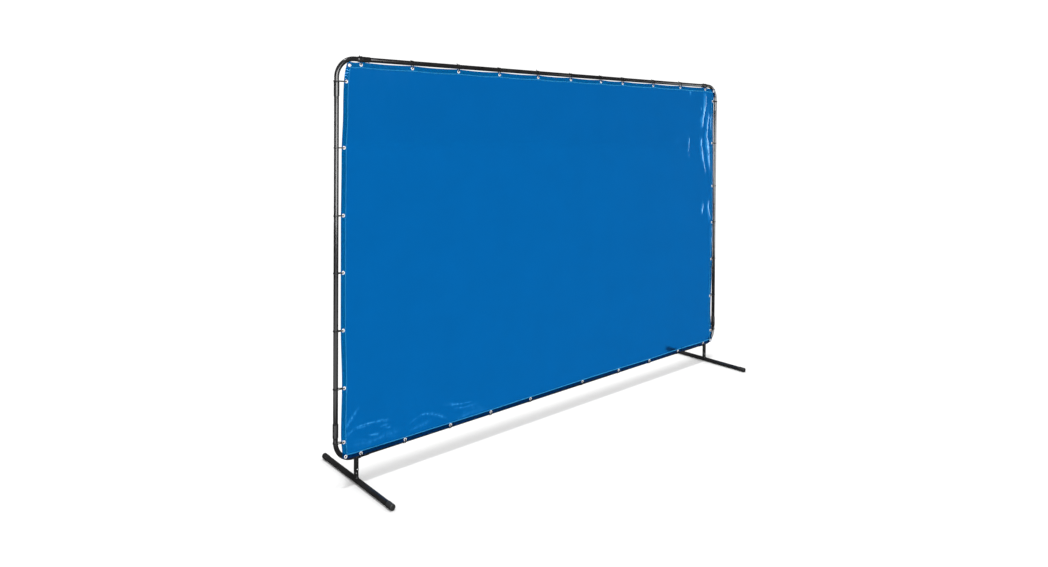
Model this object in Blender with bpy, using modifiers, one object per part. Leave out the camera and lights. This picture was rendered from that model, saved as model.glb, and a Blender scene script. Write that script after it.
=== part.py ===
"""Free-standing welding curtain screen: a tube frame on two T feet, with a tied-in curtain.

Metres, +Z up. The origin is on the floor below the middle of the frame. X runs along the
screen, and the curtain's front faces -Y.
"""

import math

import bmesh
import bpy
from mathutils import Matrix, Vector

# Driving dimensions.
FRAME_WIDTH = 3.048            # outside of the two uprights
FRAME_HEIGHT = 1.829           # outside of the two rails
RAIL_CLEARANCE = 0.125         # floor to the bottom rail's axis
TUBE_R = 0.0111                # round frame tube, outside
TUBE_WALL = 0.0012
GAP = 0.0003                   # between pieces that touch

# Corner elbows: a bend with an expanded socket at each end.
BEND_R = 0.090
SOCKET_START = 0.104           # along each leg, from the corner where the axes cross
SOCKET_END = 0.170
SOCKET_FLARE = 0.008
SOCKET_WALL = 0.0015
INSERT = 0.055                 # length of tube inside a socket

# Swaged joints: mid-rail and foot.
SPIGOT_LENGTH = 0.058
SWAGE_LENGTH = 0.006

# Feet.
FOOT_INSET = 0.107             # riser's axis from the upright's axis
FOOT_LENGTH = 0.610
FOOT_R = 0.0127
FOOT_WALL = 0.002
RISER_TOP = 0.052              # shoulder that the frame's drop tube stands on
CAP_R = 0.0146
CAP_LENGTH = 0.038
CAP_FLOOR = 0.003

# Snap buttons and their V springs.
BUTTON_R = 0.0033
BUTTON_PROUD = 0.003
BUTTON_TRAVEL = 0.0046
FLANGE_R = 0.0042
FLANGE_TOP = 0.0069
FLANGE_THICKNESS = 0.0009
FOOT_BUTTON_Z = 0.066
RAIL_BUTTON_X = -0.025
SPRING_THICKNESS = 0.0008
SPRING_WIDTH = 0.006
SPRING_LEAF = 0.026

# Curtain and the places of its eyelets.
SHEET_THICKNESS = 0.001
TOP_EDGE_DROP = 0.016          # rail axis to the sheet's top edge
BOTTOM_EDGE_DROP = 0.0015
SIDE_EDGE_GAP = 0.0295         # upright axis to the sheet's side edge
SHEET_FRONT = 0.0143           # how far the bottom edge hangs in front of the rail's axis
EYELET_INSET = 0.0125
EYELET_R = 0.00475
TOP_CORNER_CUT = (0.0345, 0.026)
BOTTOM_CORNER_CUT = (0.010, 0.010)
CORNER_EYELET = (0.033, 0.022)  # in from the side edge and from the top or bottom edge
TOP_EYELETS = (0.121, 0.410, 0.693, 0.970, 1.258, 1.523, 1.788, 1.994, 2.304, 2.603, 2.898)
BOTTOM_EYELETS = (0.124, 0.367, 0.642, 0.911, 1.201, 1.628, 1.961, 2.271, 2.582, 2.889)
SIDE_EYELETS = (0.116, 0.412, 0.715, 0.971, 1.230, 1.490, 1.734)  # down from the top rail

# Cable ties.
TIE_WIDTH = 0.0048
TIE_THICKNESS = 0.0013
TIE_HEAD = 0.0035
TIE_TURN = 0.0019              # radius at which a tie folds through an eyelet
TIE_SLACK = 0.0006             # between a tie and the tube it goes round
TIE_STEPS = 12

TUBE_SIDES = 24
ELBOW_RESOLUTION = 6           # 16 sides
BEND_STEPS = 6

# Worked out from the driving dimensions.
HALF_SPAN = FRAME_WIDTH / 2 - TUBE_R
LOW_Z = RAIL_CLEARANCE
HIGH_Z = LOW_Z + FRAME_HEIGHT - 2 * TUBE_R
TUBE_BORE = TUBE_R - TUBE_WALL
SOCKET_BORE = TUBE_R + GAP
SOCKET_R = SOCKET_BORE + SOCKET_WALL
SPIGOT_R = TUBE_BORE - GAP
SPIGOT_BORE = SPIGOT_R - TUBE_WALL
FOOT_X = HALF_SPAN - FOOT_INSET
FOOT_Z = CAP_R * math.cos(math.pi / TUBE_SIDES)
SHEET_TOP = HIGH_Z - TOP_EDGE_DROP
SHEET_DROP = SHEET_TOP - (LOW_Z - BOTTOM_EDGE_DROP)
SHEET_HALF = HALF_SPAN - SIDE_EDGE_GAP
SHEET_TILT = math.atan2(SHEET_FRONT, SHEET_DROP)
SHEET_LENGTH = math.hypot(SHEET_FRONT, SHEET_DROP)

AXIS_X, AXIS_Y, AXIS_Z = (Vector(row) for row in Matrix.Identity(3))


def clear_scene():
    for item in list(bpy.data.objects):
        bpy.data.objects.remove(item)


def collection(name):
    group = bpy.data.collections.new(name)
    bpy.context.scene.collection.children.link(group)
    return group


def material(name, colour, roughness, metallic=0.0, alpha=1.0):
    made = bpy.data.materials.new(name)
    made.use_nodes = True
    shader = made.node_tree.nodes["Principled BSDF"]
    shader.inputs["Base Color"].default_value = (*colour, 1.0)
    shader.inputs["Roughness"].default_value = roughness
    shader.inputs["Metallic"].default_value = metallic
    shader.inputs["Alpha"].default_value = alpha
    return made


def add_object(name, data, group):
    made = bpy.data.objects.new(name, data)
    group.objects.link(made)
    return made


def welded(source):
    """The evaluated mesh of a curve or a modified mesh, with its loose caps welded on."""
    bpy.context.view_layer.update()
    depsgraph = bpy.context.evaluated_depsgraph_get()
    mesh = bpy.data.meshes.new_from_object(source.evaluated_get(depsgraph))
    welding = bmesh.new()
    welding.from_mesh(mesh)
    bmesh.ops.remove_doubles(welding, verts=welding.verts, dist=1e-6)
    welding.to_mesh(mesh)
    welding.free()
    bpy.data.objects.remove(source)
    return mesh


def smooth(mesh):
    mesh.shade_smooth()
    mesh.set_sharp_from_angle(angle=math.radians(40))


def dress(piece, look):
    piece.data.materials.clear()
    piece.data.materials.append(look)
    smooth(piece.data)
    return piece


def along(direction, up=AXIS_Z):
    """A rotation that takes the local Z axis to the direction."""
    return up.rotation_difference(direction).to_matrix().to_4x4()


def place(piece, point, turn=None):
    piece.matrix_world = Matrix.Translation(point) @ (turn or Matrix())
    return piece


def basis(x_axis, y_axis):
    """A rotation whose local X and Y point along the two given axes."""
    turn = Matrix((x_axis, y_axis, x_axis.cross(y_axis)))
    return turn.transposed().to_4x4()


def turned(name, profile, group, sides=TUBE_SIDES):
    """A profile of (radius, height) points, turned about Z with a facet facing each axis."""
    closed = profile[0][0] > 0
    mesh = bpy.data.meshes.new(name)
    points = [(radius, 0.0, height) for radius, height in profile]
    edges = [(i, i + 1) for i in range(len(points) - 1)]
    if closed:
        edges.append((len(points) - 1, 0))
    mesh.from_pydata(points, edges, [])
    lathe = add_object(name, mesh, group)
    screw = lathe.modifiers.new("Turn", "SCREW")
    screw.steps = sides
    screw.render_steps = sides
    screw.use_merge_vertices = True
    screw.merge_threshold = 1e-5
    solid = welded(lathe)
    solid.transform(Matrix.Rotation(math.pi / sides, 4, "Z"))
    return add_object(name, solid, group)


def tube_profile(radius, bore, low, high):
    return [(radius, high), (radius, low), (bore, low), (bore, high)]


def rod(name, radius, low, high, group, sides=TUBE_SIDES):
    return turned(name, [(0, high), (radius, high), (radius, low), (0, low)], group, sides)


def swept(name, route, group):
    """A round bar along a route of (point, radius) pairs."""
    curve = bpy.data.curves.new(name, "CURVE")
    curve.dimensions = "3D"
    curve.bevel_depth = 1.0
    curve.bevel_resolution = ELBOW_RESOLUTION
    curve.use_fill_caps = True
    spline = curve.splines.new("POLY")
    spline.points.add(len(route) - 1)
    for target, (point, radius) in zip(spline.points, route):
        target.co = (*point, 1.0)
        target.radius = radius
    return add_object(name, welded(add_object(name, curve, group)), group)


def plate(name, outlines, thickness, group):
    """A flat piece in the local XY plane: the first outline is its edge, the others are holes."""
    curve = bpy.data.curves.new(name, "CURVE")
    curve.dimensions = "2D"
    curve.fill_mode = "BOTH"
    curve.extrude = thickness / 2
    for outline in outlines:
        spline = curve.splines.new("POLY")
        spline.points.add(len(outline) - 1)
        spline.use_cyclic_u = True
        for target, point in zip(spline.points, outline):
            target.co = (*point, 0.0, 1.0)
    return add_object(name, welded(add_object(name, curve, group)), group)


def as_tool(piece):
    piece.hide_render = True
    piece.display_type = "WIRE"
    return piece


def combine(piece, tool, operation):
    step = piece.modifiers.new(operation.title(), "BOOLEAN")
    step.operation = operation
    step.solver = "EXACT"
    step.object = as_tool(tool)
    tidy = piece.modifiers.new("Weld", "WELD")
    tidy.merge_threshold = 5e-6


def button_hole(piece, point, outward, tools):
    drill = rod("button_drill", BUTTON_R + GAP, 0.0, 2 * TUBE_R, tools, 12)
    place(drill, point, along(outward))
    combine(piece, drill, "DIFFERENCE")


# Corner elbows.

def elbow_route(tube, socket, overshoot, shift):
    """From the end of the leg along -Z, round the bend, to the end of the leg along +X."""
    leg = [
        (SOCKET_END + overshoot, socket),
        (SOCKET_START + SOCKET_FLARE + shift, socket),
        (SOCKET_START + shift, tube),
    ]
    route = [((0, 0, -distance), radius) for distance, radius in leg]
    for step in range(BEND_STEPS + 1):
        angle = math.radians(90) * step / BEND_STEPS
        across = BEND_R * (1 - math.cos(angle))
        down = BEND_R * (1 - math.sin(angle))
        route.append(((across, 0, -down), tube))
    route += [((distance, 0, 0), radius) for distance, radius in reversed(leg)]
    return route


def elbow(name, corner, turn, look, group, tools):
    body = swept(name, elbow_route(TUBE_R, SOCKET_R, 0.0, 0.0), group)
    place(body, corner, turn)
    bore = swept(name + "_bore", elbow_route(TUBE_BORE, SOCKET_BORE, 0.001, 0.001), tools)
    place(bore, corner, turn)
    return dress(body, look), bore


def elbows(look, group, tools):
    half_turn = math.pi
    sides = {"left": -1, "right": 1}
    for side, sign in sides.items():
        top_turn = Matrix.Rotation(half_turn if sign > 0 else 0.0, 4, "Z")
        body, bore = elbow(
            "elbow_top_" + side, (sign * HALF_SPAN, 0, HIGH_Z), top_turn, look, group, tools)
        combine(body, bore, "DIFFERENCE")

        low_turn = Matrix.Rotation(half_turn, 4, "Y" if sign > 0 else "X")
        body, bore = elbow(
            "elbow_bottom_" + side, (sign * HALF_SPAN, 0, LOW_Z), low_turn, look, group, tools)
        drop_tube(body, bore, sign * FOOT_X, tools)


def drop_tube(body, bore, x, tools):
    """The stub welded under a bottom elbow, which the foot's riser plugs into."""
    stub = rod("drop_stub", TUBE_R, RISER_TOP + GAP, LOW_Z + SOCKET_BORE / 3, tools)
    stub_bore = rod("drop_bore", TUBE_BORE, RISER_TOP - TUBE_R, LOW_Z - SOCKET_R - 2 * GAP, tools)
    for tool in (stub, stub_bore):
        place(tool, (x, 0, 0))
    combine(body, stub, "UNION")
    combine(body, bore, "DIFFERENCE")
    combine(body, stub_bore, "DIFFERENCE")
    button_hole(body, (x, 0, FOOT_BUTTON_Z), -AXIS_Y, tools)


# Straight tubes.

def uprights(look, group):
    low = LOW_Z + SOCKET_END - INSERT
    high = HIGH_Z - SOCKET_END + INSERT
    for side, sign in (("left", -1), ("right", 1)):
        upright = turned("upright_" + side, tube_profile(TUBE_R, TUBE_BORE, low, high), group)
        dress(place(upright, (sign * HALF_SPAN, 0, 0)), look)


def swaged_profile(end):
    """A tube whose lower end is drawn down to a spigot: its full size starts above height 0."""
    shoulder = SWAGE_LENGTH + 2 * GAP
    return [
        (TUBE_R, end),
        (TUBE_R, shoulder),
        (SPIGOT_R, 2 * GAP),
        (SPIGOT_R, -SPIGOT_LENGTH),
        (SPIGOT_BORE, -SPIGOT_LENGTH),
        (SPIGOT_BORE, 2 * GAP),
        (TUBE_BORE, shoulder),
        (TUBE_BORE, end),
    ]


def rails(look, group, tools):
    end = HALF_SPAN - SOCKET_END + INSERT
    for level, z in (("top", HIGH_Z), ("bottom", LOW_Z)):
        plain = turned(level + "_rail_left", tube_profile(TUBE_R, TUBE_BORE, 0.0, end), group)
        place(plain, (0, 0, z), along(-AXIS_X))
        swaged = turned(level + "_rail_right", swaged_profile(end), group)
        place(swaged, (0, 0, z), along(AXIS_X))
        for half in (plain, swaged):
            dress(half, look)
            button_hole(half, (RAIL_BUTTON_X, 0, z), AXIS_Y, tools)


# Feet and their end caps.

def foot(side, x, look, group, tools):
    tube_half = FOOT_LENGTH / 2 - CAP_FLOOR - GAP
    base = rod("foot_" + side, FOOT_R, -tube_half, tube_half, group)
    place(base, (x, 0, FOOT_Z), along(AXIS_Y))
    riser_foot = FOOT_Z
    shoulder = RISER_TOP - SWAGE_LENGTH
    spigot_top = RISER_TOP + SPIGOT_LENGTH - 2 * GAP
    riser = turned("riser_" + side, [
        (0, spigot_top),
        (SPIGOT_R, spigot_top),
        (SPIGOT_R, RISER_TOP),
        (TUBE_R, shoulder),
        (TUBE_R, riser_foot),
        (0, riser_foot),
    ], tools)
    riser_bore = rod(
        "riser_bore_" + side, SPIGOT_BORE, FOOT_Z + FOOT_R + TUBE_WALL, spigot_top + 0.001, tools)
    for tool in (riser, riser_bore):
        place(tool, (x, 0, 0))
    base_bore = rod(
        "foot_bore_" + side, FOOT_R - FOOT_WALL, -FOOT_LENGTH, FOOT_LENGTH, tools)
    place(base_bore, (x, 0, FOOT_Z), along(AXIS_Y))
    combine(base, riser, "UNION")
    combine(base, riser_bore, "DIFFERENCE")
    combine(base, base_bore, "DIFFERENCE")
    button_hole(base, (x, 0, FOOT_BUTTON_Z), -AXIS_Y, tools)
    dress(base, look)


def foot_cap(name, x, outward, look, group):
    bore = FOOT_R + GAP
    edge = CAP_FLOOR / 2
    cap = turned(name, [
        (0, CAP_LENGTH),
        (CAP_R - edge, CAP_LENGTH),
        (CAP_R, CAP_LENGTH - edge),
        (CAP_R, 0),
        (bore, 0),
        (bore, CAP_LENGTH - CAP_FLOOR),
        (0, CAP_LENGTH - CAP_FLOOR),
    ], group)
    middle = Vector((x, 0, FOOT_Z)) + outward * (FOOT_LENGTH / 2 - CAP_LENGTH)
    turn = along(outward)
    dress(place(cap, middle, turn), look)


def feet(frame_look, cap_look, group, tools):
    for side, sign in (("left", -1), ("right", 1)):
        foot(side, sign * FOOT_X, frame_look, group, tools)
        for end, outward in (("front", -AXIS_Y), ("back", AXIS_Y)):
            foot_cap(f"foot_cap_{side}_{end}", sign * FOOT_X, outward, cap_look, group)


# Snap buttons.

def snap_button(name, point, outward, look, group):
    """A domed pin with a flange that keeps it from leaving through its hole."""
    tip = TUBE_R + BUTTON_PROUD
    flange_floor = FLANGE_TOP - FLANGE_THICKNESS
    dome = [
        (BUTTON_R * math.sin(angle), tip - BUTTON_R * 0.7 * (1 - math.cos(angle)))
        for angle in (math.radians(30), math.radians(60), math.radians(90))
    ]
    profile = [(0, tip), *dome, (BUTTON_R, FLANGE_TOP), (FLANGE_R, FLANGE_TOP),
               (FLANGE_R, flange_floor), (0, flange_floor)]
    button = turned(name, profile, group, 12)
    dress(place(button, point, along(outward)), look)


def strip_outline(path, thickness):
    """The outline of a bent strip whose middle follows the path."""
    left, right = [], []
    for i, point in enumerate(path):
        before = path[max(i - 1, 0)]
        after = path[min(i + 1, len(path) - 1)]
        heading = (Vector(after) - Vector(before)).normalized()
        side = Vector((-heading.y, heading.x)) * thickness / 2
        left.append(tuple(Vector(point) + side))
        right.append(tuple(Vector(point) - side))
    return left + right[::-1]


def button_spring(name, point, deeper, outward, look, group):
    """A V of spring strip, with its front leaf at the height of a pressed button."""
    back = SPIGOT_BORE - 1.5 * SPRING_THICKNESS
    front = FLANGE_TOP - FLANGE_THICKNESS - BUTTON_TRAVEL - GAP - SPRING_THICKNESS / 2
    fold_top = front - 2 * SPRING_THICKNESS
    fold_r = (fold_top + back) / 2
    path = [(0.006, front)]
    for step in range(5):
        angle = math.radians(90 + 45 * step)
        path.append((fold_r * math.cos(angle) - SPRING_LEAF,
                     fold_top - fold_r + fold_r * math.sin(angle)))
    path.append((0.010, -back))
    spring = plate(name, [strip_outline(path, SPRING_THICKNESS)], SPRING_WIDTH, group)
    dress(place(spring, point, basis(-deeper, outward)), look)


def snap_buttons(button_look, spring_look, group):
    places = {}
    for side, sign in (("left", -1), ("right", 1)):
        places["foot_" + side] = ((sign * FOOT_X, 0, FOOT_BUTTON_Z), -AXIS_Z, -AXIS_Y)
    for level, z in (("top", HIGH_Z), ("bottom", LOW_Z)):
        places[level + "_rail"] = ((RAIL_BUTTON_X, 0, z), AXIS_X, AXIS_Y)
    for where, (point, deeper, outward) in places.items():
        snap_button("snap_button_" + where, point, outward, button_look, group)
        button_spring("button_spring_" + where, point, deeper, outward, spring_look, group)


# Curtain.

def sheet_y(z):
    """How far forward of the frame's middle plane the sheet is at a height."""
    return -math.tan(SHEET_TILT) * (SHEET_TOP - z)


def eyelet_hole(x, y):
    return [
        (x + EYELET_R * math.cos(math.radians(60 * k)), y + EYELET_R * math.sin(math.radians(60 * k)))
        for k in range(6)
    ]


def curtain_outline():
    top_x, top_y = TOP_CORNER_CUT
    low_x, low_y = BOTTOM_CORNER_CUT
    right = [
        (SHEET_HALF - top_x, 0.0),
        (SHEET_HALF, -top_y),
        (SHEET_HALF, low_y - SHEET_LENGTH),
        (SHEET_HALF - low_x, -SHEET_LENGTH),
    ]
    return right + [(-x, y) for x, y in reversed(right)]


def curtain(look, group):
    """The sheet in its own plane, with its top edge on the local X axis."""
    centres = [(x - HALF_SPAN, -EYELET_INSET) for x in TOP_EYELETS]
    centres += [(x - HALF_SPAN, EYELET_INSET - SHEET_LENGTH) for x in BOTTOM_EYELETS]
    corner_in, corner_down = CORNER_EYELET
    for sign in (-1, 1):
        edge_x = sign * (SHEET_HALF - EYELET_INSET)
        for drop in SIDE_EYELETS:
            below_edge = drop - TUBE_R - TOP_EDGE_DROP
            centres.append((edge_x, -below_edge / math.cos(SHEET_TILT)))
        corner_x = sign * (SHEET_HALF - corner_in)
        centres.append((corner_x, -corner_down))
        centres.append((corner_x, corner_down - SHEET_LENGTH))
    holes = [eyelet_hole(x, y) for x, y in centres]
    sheet = plate("curtain", [curtain_outline(), *holes], SHEET_THICKNESS, group)
    hang = Matrix.Rotation(math.pi / 2 - SHEET_TILT, 4, "X")
    dress(place(sheet, (0, 0, SHEET_TOP), hang), look)


# Cable ties.

def outermost(circles, angle):
    """The circle that reaches farthest in a direction."""
    return max(circles, key=lambda c: c[0] * math.cos(angle) + c[1] * math.sin(angle) + c[2])


def rim_point(circle, angle, grow):
    x, y, radius = circle
    return x + (radius + grow) * math.cos(angle), y + (radius + grow) * math.sin(angle)


def tangent_angle(circle, other, near):
    """The direction, closest to a given one, of the line that touches both circles."""
    x, y = other[0] - circle[0], other[1] - circle[1]
    spread = math.acos((circle[2] - other[2]) / math.hypot(x, y))
    either = (math.atan2(y, x) + spread, math.atan2(y, x) - spread)
    return max(either, key=lambda angle: math.cos(angle - near))


def belt(circles, grow, bump=()):
    """A belt round a set of (x, y, radius) circles, with a raised stretch at some steps."""
    outline = []
    turn = math.tau / TIE_STEPS
    for step in range(TIE_STEPS):
        angle = step * turn
        here = outermost(circles, angle)
        following = outermost(circles, angle + turn)
        outline.append(rim_point(here, angle, grow + (TIE_HEAD if step in bump else 0.0)))
        if following != here:
            touching = tangent_angle(here, following, angle + turn / 2)
            outline.append(rim_point(here, touching, grow))
            outline.append(rim_point(following, touching, grow))
    return outline


def cable_tie(name, circles, head_steps, point, turn, look, group):
    inner = belt(circles, TIE_SLACK)
    outer = belt(circles, TIE_SLACK + TIE_THICKNESS, head_steps)
    tie = plate(name, [outer, inner], TIE_WIDTH, group)
    dress(place(tie, point, turn), look)


def tube_radius_at(distance):
    """The outside of the frame at a distance along a leg from a corner."""
    on_socket = SOCKET_START - TIE_WIDTH < distance < SOCKET_END + TIE_WIDTH
    return SOCKET_R if on_socket else TUBE_R


def bend_shift(distance):
    """How far a bend has carried the tube's axis inward at a distance along a leg."""
    into_bend = max(BEND_R - distance, 0.0)
    return BEND_R - math.sqrt(BEND_R ** 2 - into_bend ** 2)


def rail_ties(look, group):
    upright_plane = basis(AXIS_Y, AXIS_Z)
    fold = TIE_TURN + TIE_SLACK
    through_top = TOP_EDGE_DROP + EYELET_INSET - fold
    for number, along_rail in enumerate(TOP_EYELETS, 1):
        rail = (0.0, 0.0, tube_radius_at(min(along_rail, 2 * HALF_SPAN - along_rail)))
        eyelet = (0.0, -through_top, TIE_TURN)
        cable_tie(f"tie_top_{number:02d}", [rail, eyelet], (1, 2),
                  (along_rail - HALF_SPAN, 0, HIGH_Z), upright_plane, look, group)
    through_bottom = EYELET_INSET - BOTTOM_EDGE_DROP - 2 * TIE_TURN
    for number, along_rail in enumerate(BOTTOM_EYELETS, 1):
        rail = (0.0, 0.0, tube_radius_at(min(along_rail, 2 * HALF_SPAN - along_rail)))
        eyelet = (-SHEET_FRONT, through_bottom, TIE_TURN)
        hem = (-SHEET_FRONT, -BOTTOM_EDGE_DROP - TIE_TURN / 2, TIE_TURN)
        cable_tie(f"tie_bottom_{number:02d}", [rail, eyelet, hem], (10, 11),
                  (along_rail - HALF_SPAN, 0, LOW_Z), upright_plane, look, group)


def side_ties(look, group):
    through_side = SIDE_EDGE_GAP + EYELET_INSET - TIE_TURN - TIE_SLACK
    frame_top = HIGH_Z + TUBE_R
    for side, sign in (("left", -1), ("right", 1)):
        level_plane = basis(-sign * AXIS_X, AXIS_Y)
        for number, drop in enumerate(SIDE_EYELETS, 1):
            z = frame_top - drop
            from_corner = min(HIGH_Z - z, z - LOW_Z)
            post = (bend_shift(from_corner), 0.0, tube_radius_at(from_corner))
            eyelet = (through_side, sheet_y(z), TIE_TURN)
            cable_tie(f"tie_{side}_{number:02d}", [post, eyelet], (4, 5),
                      (sign * HALF_SPAN, 0, z), level_plane, look, group)


def main():
    clear_scene()
    screen = collection("welding_curtain_screen")
    tools = collection("cutters")
    powder_coat = material("powder_coat", (0.016, 0.016, 0.017), 0.42)
    cap_vinyl = material("cap_vinyl", (0.012, 0.012, 0.013), 0.55)
    zinc = material("zinc_plate", (0.62, 0.62, 0.60), 0.32, 1.0)
    spring_steel = material("spring_steel", (0.30, 0.30, 0.31), 0.38, 1.0)
    blue_pvc = material("blue_pvc", (0.002, 0.125, 0.41), 0.22, 0.0, 0.9)
    nylon = material("nylon", (0.010, 0.010, 0.011), 0.45)

    elbows(powder_coat, screen, tools)
    uprights(powder_coat, screen)
    rails(powder_coat, screen, tools)
    feet(powder_coat, cap_vinyl, screen, tools)
    snap_buttons(zinc, spring_steel, screen)
    curtain(blue_pvc, screen)
    rail_ties(nylon, screen)
    side_ties(nylon, screen)


main()
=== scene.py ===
"""Looks of the welding curtain screen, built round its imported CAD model.

Metres, Z up. X runs along the screen, and the curtain's front faces -Y.
"""

import math

import bmesh
import bpy
import numpy as np
from mathutils import Matrix, Vector

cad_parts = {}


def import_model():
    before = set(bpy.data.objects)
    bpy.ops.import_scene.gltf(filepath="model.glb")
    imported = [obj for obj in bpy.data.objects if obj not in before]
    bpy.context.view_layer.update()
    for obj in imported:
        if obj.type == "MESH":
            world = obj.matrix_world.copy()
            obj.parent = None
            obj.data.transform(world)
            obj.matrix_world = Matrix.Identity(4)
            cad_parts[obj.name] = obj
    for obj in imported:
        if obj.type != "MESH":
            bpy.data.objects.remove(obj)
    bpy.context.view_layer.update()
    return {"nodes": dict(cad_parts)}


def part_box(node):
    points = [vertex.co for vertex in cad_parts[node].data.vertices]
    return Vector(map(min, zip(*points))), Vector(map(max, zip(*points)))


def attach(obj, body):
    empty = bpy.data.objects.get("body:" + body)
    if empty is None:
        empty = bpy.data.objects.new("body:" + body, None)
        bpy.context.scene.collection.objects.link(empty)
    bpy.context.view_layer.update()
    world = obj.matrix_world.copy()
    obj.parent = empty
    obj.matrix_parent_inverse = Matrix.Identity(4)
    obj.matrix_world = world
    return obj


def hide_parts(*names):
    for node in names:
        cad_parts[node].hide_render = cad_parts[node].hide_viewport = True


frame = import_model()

BODY = "screen"

CAMERA_PLACE = (-3.0518, -2.7925, 1.6111)
LENS = 24.312
SHIFT = (0.0639, -0.1369)
YAW, PITCH, ROLL = 0.6726, -0.0135, 0.0053

# Tubes, as the CAD has them.
TUBE_R = 0.0111
TUBE_WALL = 0.0012
TUBE_BORE = TUBE_R - TUBE_WALL
GAP = 0.0003
BEND_R = 0.090
SOCKET_START = 0.104
SOCKET_END = 0.170
SOCKET_FLARE = 0.008
SOCKET_R = 0.0129
SOCKET_BORE = 0.0114
SPIGOT_R = 0.0096
SPIGOT_BORE = 0.0084
SWAGE_LENGTH = 0.006
FOOT_R = 0.0127
FOOT_WALL = 0.002
RISER_TOP = 0.052
CAP_R = 0.0140
CAP_LIP_R = 0.0144
CAP_LENGTH = 0.038
CAP_FLOOR = 0.003
EDGE_ROUND = 0.0005            # broken edge on a cut tube end
BUTTON_R = 0.0033
BUTTON_TIP = 0.0141            # from the tube's axis
FLANGE_R = 0.0042
FLANGE_TOP = 0.0069
FLANGE_THICKNESS = 0.0009
BEAD_R = 0.0021                # weld beads
BEAD_PITCH = 0.0030
SIDES = 40

# Sheet.
FILM = 0.0008
HEM = 0.027
HEM_LIFT = 0.00105             # middle of the folded-back layer behind the sheet's middle
EYELET_INSET = 0.0125
CORNER_EYELET = 0.0158
HOLE_R = 0.0052
FRONT_ROLL_R = 0.00625          # middle of the rolled rim
FRONT_ROLL_RISE = 0.0013
BACK_ROLL_R = 0.00605
BACK_ROLL_RISE = 0.00085
ROLL_HALF = 0.0019
BARREL_R = 0.00415
SEAM_IN = 0.0235               # the seam's middle from the sheet's edge
ZIGZAG = 0.0020
STITCH = 0.0024
THREAD_R = 0.0008
BACK_THREAD_R = 0.0004

# Ties.
TIE_WIDTH = 0.0048
TIE_THICKNESS = 0.0013
TIE_TURN = 0.0019
TIE_SLACK = 0.0006
TIE_HEAD_HALF = (0.0037, 0.0033)
TIE_HEAD_RISE = 0.0046

# Strength of the world: as light, to the eye and in reflections.
WORLD_LIGHT = 0.98
WORLD_SEEN = 1.08
WORLD_GLOSS = 0.05
FLOOR_HALF = 60.0


def middle(node):
    low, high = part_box(node)
    return (low + high) / 2


POST_X = middle("upright_right").x
HIGH_Z = middle("top_rail_left").z
LOW_Z = middle("bottom_rail_left").z
FOOT_X = middle("foot_right").x
FOOT_Z = middle("foot_cap_right_front").z
BUTTON_Z = middle("snap_button_foot_left").z
RAIL_BUTTON_X = middle("snap_button_top_rail").x
SHEET_LOW, SHEET_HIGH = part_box("curtain")
SHEET_HALF = SHEET_HIGH.x
SHEET_TOP = SHEET_HIGH.z
SHEET_FRONT = 0.0143
SHEET_DROP = SHEET_TOP - SHEET_LOW.z
SHEET_LENGTH = math.hypot(SHEET_FRONT, SHEET_DROP)
TILT = math.atan2(SHEET_FRONT, SHEET_DROP)

AXIS_X, AXIS_Y, AXIS_Z = (Vector(row) for row in Matrix.Identity(3))
RANDOM = np.random.default_rng(11)


def new_object(name, data):
    made = bpy.data.objects.new(name, data)
    bpy.context.scene.collection.objects.link(made)
    return made


def applied(item):
    """The item's mesh with its modifiers applied. The item itself goes away."""
    bpy.context.view_layer.update()
    graph = bpy.context.evaluated_depsgraph_get()
    mesh = bpy.data.meshes.new_from_object(item.evaluated_get(graph))
    bpy.data.objects.remove(item)
    return mesh


# Camera.

def set_camera():
    data = bpy.data.cameras.new("camera")
    data.sensor_width = 36.0
    data.lens = LENS
    data.shift_x, data.shift_y = SHIFT
    made = new_object("camera", data)
    turn = (
        Matrix.Rotation(-YAW, 4, "Z")
        @ Matrix.Rotation(math.pi / 2 + PITCH, 4, "X")
        @ Matrix.Rotation(ROLL, 4, "Z")
    )
    made.matrix_world = Matrix.Translation(CAMERA_PLACE) @ turn
    bpy.context.scene.camera = made


# Materials.

def look(name, colour, roughness, **settings):
    made = bpy.data.materials.new(name)
    made.use_nodes = True
    shader = made.node_tree.nodes["Principled BSDF"]
    shader.inputs["Base Color"].default_value = (*colour, 1.0)
    shader.inputs["Roughness"].default_value = roughness
    for socket, value in settings.items():
        shader.inputs[socket.replace("_", " ")].default_value = value
    return made


def node(made, kind, **settings):
    added = made.node_tree.nodes.new(kind)
    for key, value in settings.items():
        setattr(added, key, value)
    return added


def join(made, source, target):
    made.node_tree.links.new(source, target)


def shader_input(made, name):
    return made.node_tree.nodes["Principled BSDF"].inputs[name]


def noise(made, scale, detail=2.0, roughness=0.5, stretch=(1, 1, 1)):
    """A noise that lies on the object's own metres."""
    where = node(made, "ShaderNodeTexCoord")
    mapping = node(made, "ShaderNodeMapping")
    mapping.inputs["Scale"].default_value = stretch
    texture = node(made, "ShaderNodeTexNoise")
    texture.inputs["Scale"].default_value = scale
    texture.inputs["Detail"].default_value = detail
    texture.inputs["Roughness"].default_value = roughness
    join(made, where.outputs["Object"], mapping.inputs["Vector"])
    join(made, mapping.outputs["Vector"], texture.inputs["Vector"])
    return texture.outputs["Fac"]


def ranged(made, source, start, end, low, high):
    step = node(made, "ShaderNodeMapRange")
    step.inputs["From Min"].default_value = start
    step.inputs["From Max"].default_value = end
    step.inputs["To Min"].default_value = low
    step.inputs["To Max"].default_value = high
    join(made, source, step.inputs["Value"])
    return step.outputs["Result"]


def vary_roughness(made, source, low, high):
    join(made, ranged(made, source, 0.3, 0.7, low, high), shader_input(made, "Roughness"))


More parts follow.
